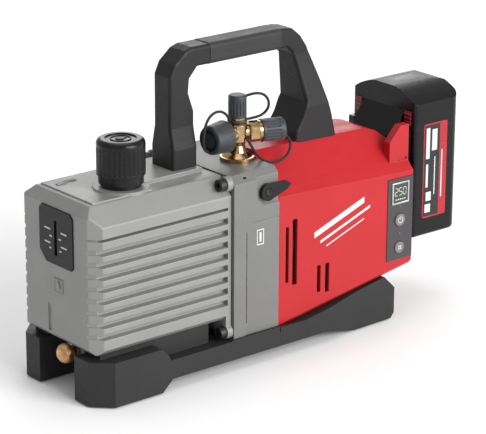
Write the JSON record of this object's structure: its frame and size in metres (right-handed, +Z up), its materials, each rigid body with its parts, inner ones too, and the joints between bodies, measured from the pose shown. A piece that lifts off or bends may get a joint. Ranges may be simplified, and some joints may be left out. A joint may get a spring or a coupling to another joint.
{
  "type": "cordless vacuum pump",
  "caption": "Battery-powered two-stage rotary-vane vacuum pump with a finned oil case, brass intake ports, carrying handle and moulded skid.",
  "frame": {"origin": "bottom centre of the whole pump, on the surface that it stands on", "axes": "+X from the oil case at the front to the battery at the back, +Y to the side away from the valve lever, +Z up"},
  "size_m": [0.4254, 0.1212, 0.2775],
  "materials": {
    "cast_grey": "satin cast metal paint",
    "red_plastic": "fine satin",
    "black_plastic": "fine grain",
    "grey_plastic": "fine grain",
    "pack_plastic": "satin",
    "soft_black": "matte",
    "brass": "turned",
    "steel": "ground",
    "black_steel": "black oxide",
    "aluminium": "machined",
    "iron": "machined",
    "copper_wire": "enamelled",
    "clear_window": "clear",
    "screen": "gloss",
    "button_grey": "satin",
    "latch_red": "satin",
    "circuit_green": "satin",
    "cell_wrap": "satin",
    "filter_mesh": "woven",
    "carbon": "machined"
  },
  "bodies": {
    "root": {"base_skid": "black_plastic", "skid_feet": "soft_black", "skid_screws": "black_steel", "oil_case": "cast_grey", "case_gasket": "soft_black", "case_bolts": "black_steel", "sight_bezel": "black_plastic", "sight_window": "clear_window", "oil_fill_neck": "black_plastic", "exhaust_filter": "filter_mesh", "drain_valve": "brass", "pump_flange": "cast_grey", "shaft_seal": "soft_black", "main_stage": "iron", "second_stage": "iron", "stage_divider": "iron", "pump_end_cover": "iron", "pump_bolts": "steel", "motor_bearings": "steel", "motor_brackets": "aluminium", "motor_stator": "iron", "stator_windings": "copper_wire", "motor_housing_near": "red_plastic", "motor_housing_far": "red_plastic", "housing_screws": "black_steel", "control_panel": "grey_plastic", "display_window": "screen", "control_board": "circuit_green", "battery_socket": "black_plastic", "terminal_blades": "steel", "handle_frame": "black_plastic", "handle_grip": "soft_black", "handle_screws": "black_steel", "intake_manifold": "brass", "top_cap_tether": "soft_black", "front_cap_tether": "soft_black", "rear_cap_tether": "soft_black"},
    "rotor": {"pump_rotor": "steel", "shaft_coupling": "aluminium", "motor_shaft": "steel", "motor_rotor": "steel", "cooling_fan": "grey_plastic"},
    "near_vane": {"near_vanes": "carbon"},
    "far_vane": {"far_vanes": "carbon"},
    "valve": {"valve_lever": "black_plastic", "valve_stem": "steel", "valve_ball": "brass"},
    "oil_cap": {"oil_cap": "black_plastic"},
    "drain_knob": {"drain_knob": "brass"},
    "top_cap": {"top_port_cap": "soft_black"},
    "rear_cap": {"rear_port_cap": "soft_black"},
    "front_cap": {"front_port_cap": "soft_black"},
    "power_button": {"power_button": "button_grey"},
    "mode_button": {"mode_button": "button_grey"},
    "battery": {"battery_case": "pack_plastic", "battery_cover": "pack_plastic", "battery_cells": "cell_wrap"},
    "latch_near": {"battery_latch_near": "latch_red"},
    "latch_far": {"battery_latch_far": "latch_red"},
    "gauge_button": {"gauge_button": "grey_plastic"}
  },
  "joints": [
    {"name": "rotor_spin", "type": "hinge", "parent": "root", "child": "rotor", "pos_m": [-0.088, 0, 0.095], "axis": [1, 0, 0], "continuous": true},
    {"name": "near_vane_slide", "type": "slide", "parent": "rotor", "child": "near_vane", "axis": [0, -1, 0], "range_m": [0, 0.0024]},
    {"name": "far_vane_slide", "type": "slide", "parent": "rotor", "child": "far_vane", "axis": [0, 1, 0], "range_m": [0, 0.0024]},
    {"name": "valve_turn", "type": "hinge", "parent": "root", "child": "valve", "pos_m": [-0.0275, -0.0556, 0.1525], "axis": [0, -1, 0], "range_deg": [0, 90]},
    {"name": "oil_cap_lift", "type": "slide", "parent": "root", "child": "oil_cap", "axis": [0, 0, 1], "range_m": [0, 0.03]},
    {"name": "drain_knob_turn", "type": "hinge", "parent": "root", "child": "drain_knob", "pos_m": [-0.206, -0.0085, 0.0365], "axis": [1, 0, 0], "range_deg": [0, 540]},
    {"name": "top_cap_pull", "type": "slide", "parent": "root", "child": "top_cap", "axis": [0, 0, 1], "range_m": [0, 0.018], "deforming": ["top_cap_tether"]},
    {"name": "rear_cap_pull", "type": "slide", "parent": "root", "child": "rear_cap", "axis": [0.9397, -0.342, 0], "range_m": [0, 0.01], "deforming": ["rear_cap_tether"]},
    {"name": "front_cap_pull", "type": "slide", "parent": "root", "child": "front_cap", "axis": [-0.9925, -0.1219, 0], "range_m": [0, 0.003], "deforming": ["front_cap_tether"]},
    {"name": "power_press", "type": "slide", "parent": "root", "child": "power_button", "axis": [0, 1, 0], "range_m": [0, 0.001], "stiffness_N_per_m": 600},
    {"name": "mode_press", "type": "slide", "parent": "root", "child": "mode_button", "axis": [0, 1, 0], "range_m": [0, 0.001], "stiffness_N_per_m": 600},
    {"name": "battery_slide", "type": "slide", "parent": "root", "child": "battery", "axis": [0, 0, 1], "range_m": [0, 0.07]},
    {"name": "near_latch_press", "type": "slide", "parent": "battery", "child": "latch_near", "axis": [1, 0, 0], "range_m": [0, 0.002], "stiffness_N_per_m": 800},
    {"name": "far_latch_press", "type": "slide", "parent": "battery", "child": "latch_far", "axis": [1, 0, 0], "range_m": [0, 0.002], "stiffness_N_per_m": 800},
    {"name": "gauge_press", "type": "slide", "parent": "battery", "child": "gauge_button", "axis": [-1, 0, 0], "range_m": [0, 0.0008], "stiffness_N_per_m": 600}
  ]
}
